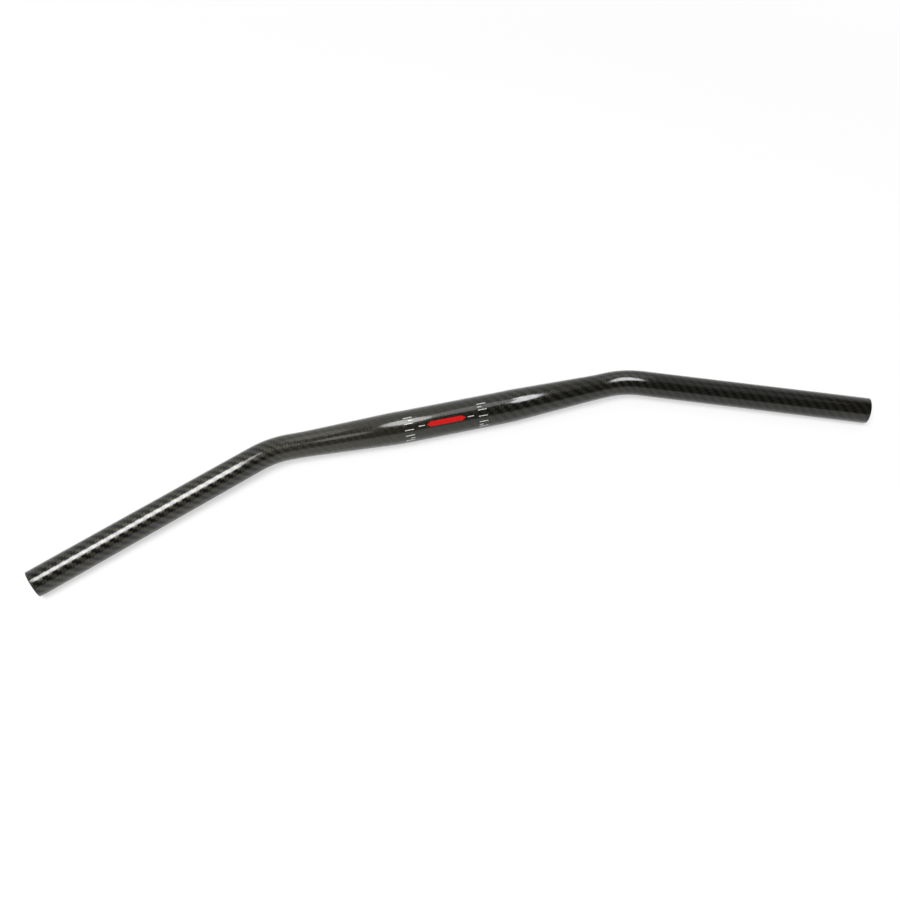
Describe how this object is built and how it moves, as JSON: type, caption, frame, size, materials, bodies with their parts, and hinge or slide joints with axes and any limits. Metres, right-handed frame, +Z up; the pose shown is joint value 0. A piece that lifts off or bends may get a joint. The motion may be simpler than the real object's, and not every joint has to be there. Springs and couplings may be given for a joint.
{
  "type": "bicycle handlebar",
  "caption": "Flat swept-back bicycle handlebar, a moulded hollow tube with a fat centre clamp zone that tapers to bent-back straight grip ends, cut off square and open.",
  "frame": {"origin": "centre of the clamp zone, on its axis", "axes": "+X along the clamp axis to the rider's right, +Y forward, away from the rider, so the grips sweep back towards -Y, +Z up; the bar lies as it rests on a flat surface, on the clamp zone and both cut ends"},
  "size_m": [0.7134, 0.1061, 0.0286],
  "materials": {
    "carbon": "glossy clear coat over a visible black twill weave",
    "white_print": "thin printed marks under the clear coat",
    "red_print": "thin printed field under the clear coat"
  },
  "bodies": {
    "root": {"handlebar": "carbon"}
  },
  "joints": []
}
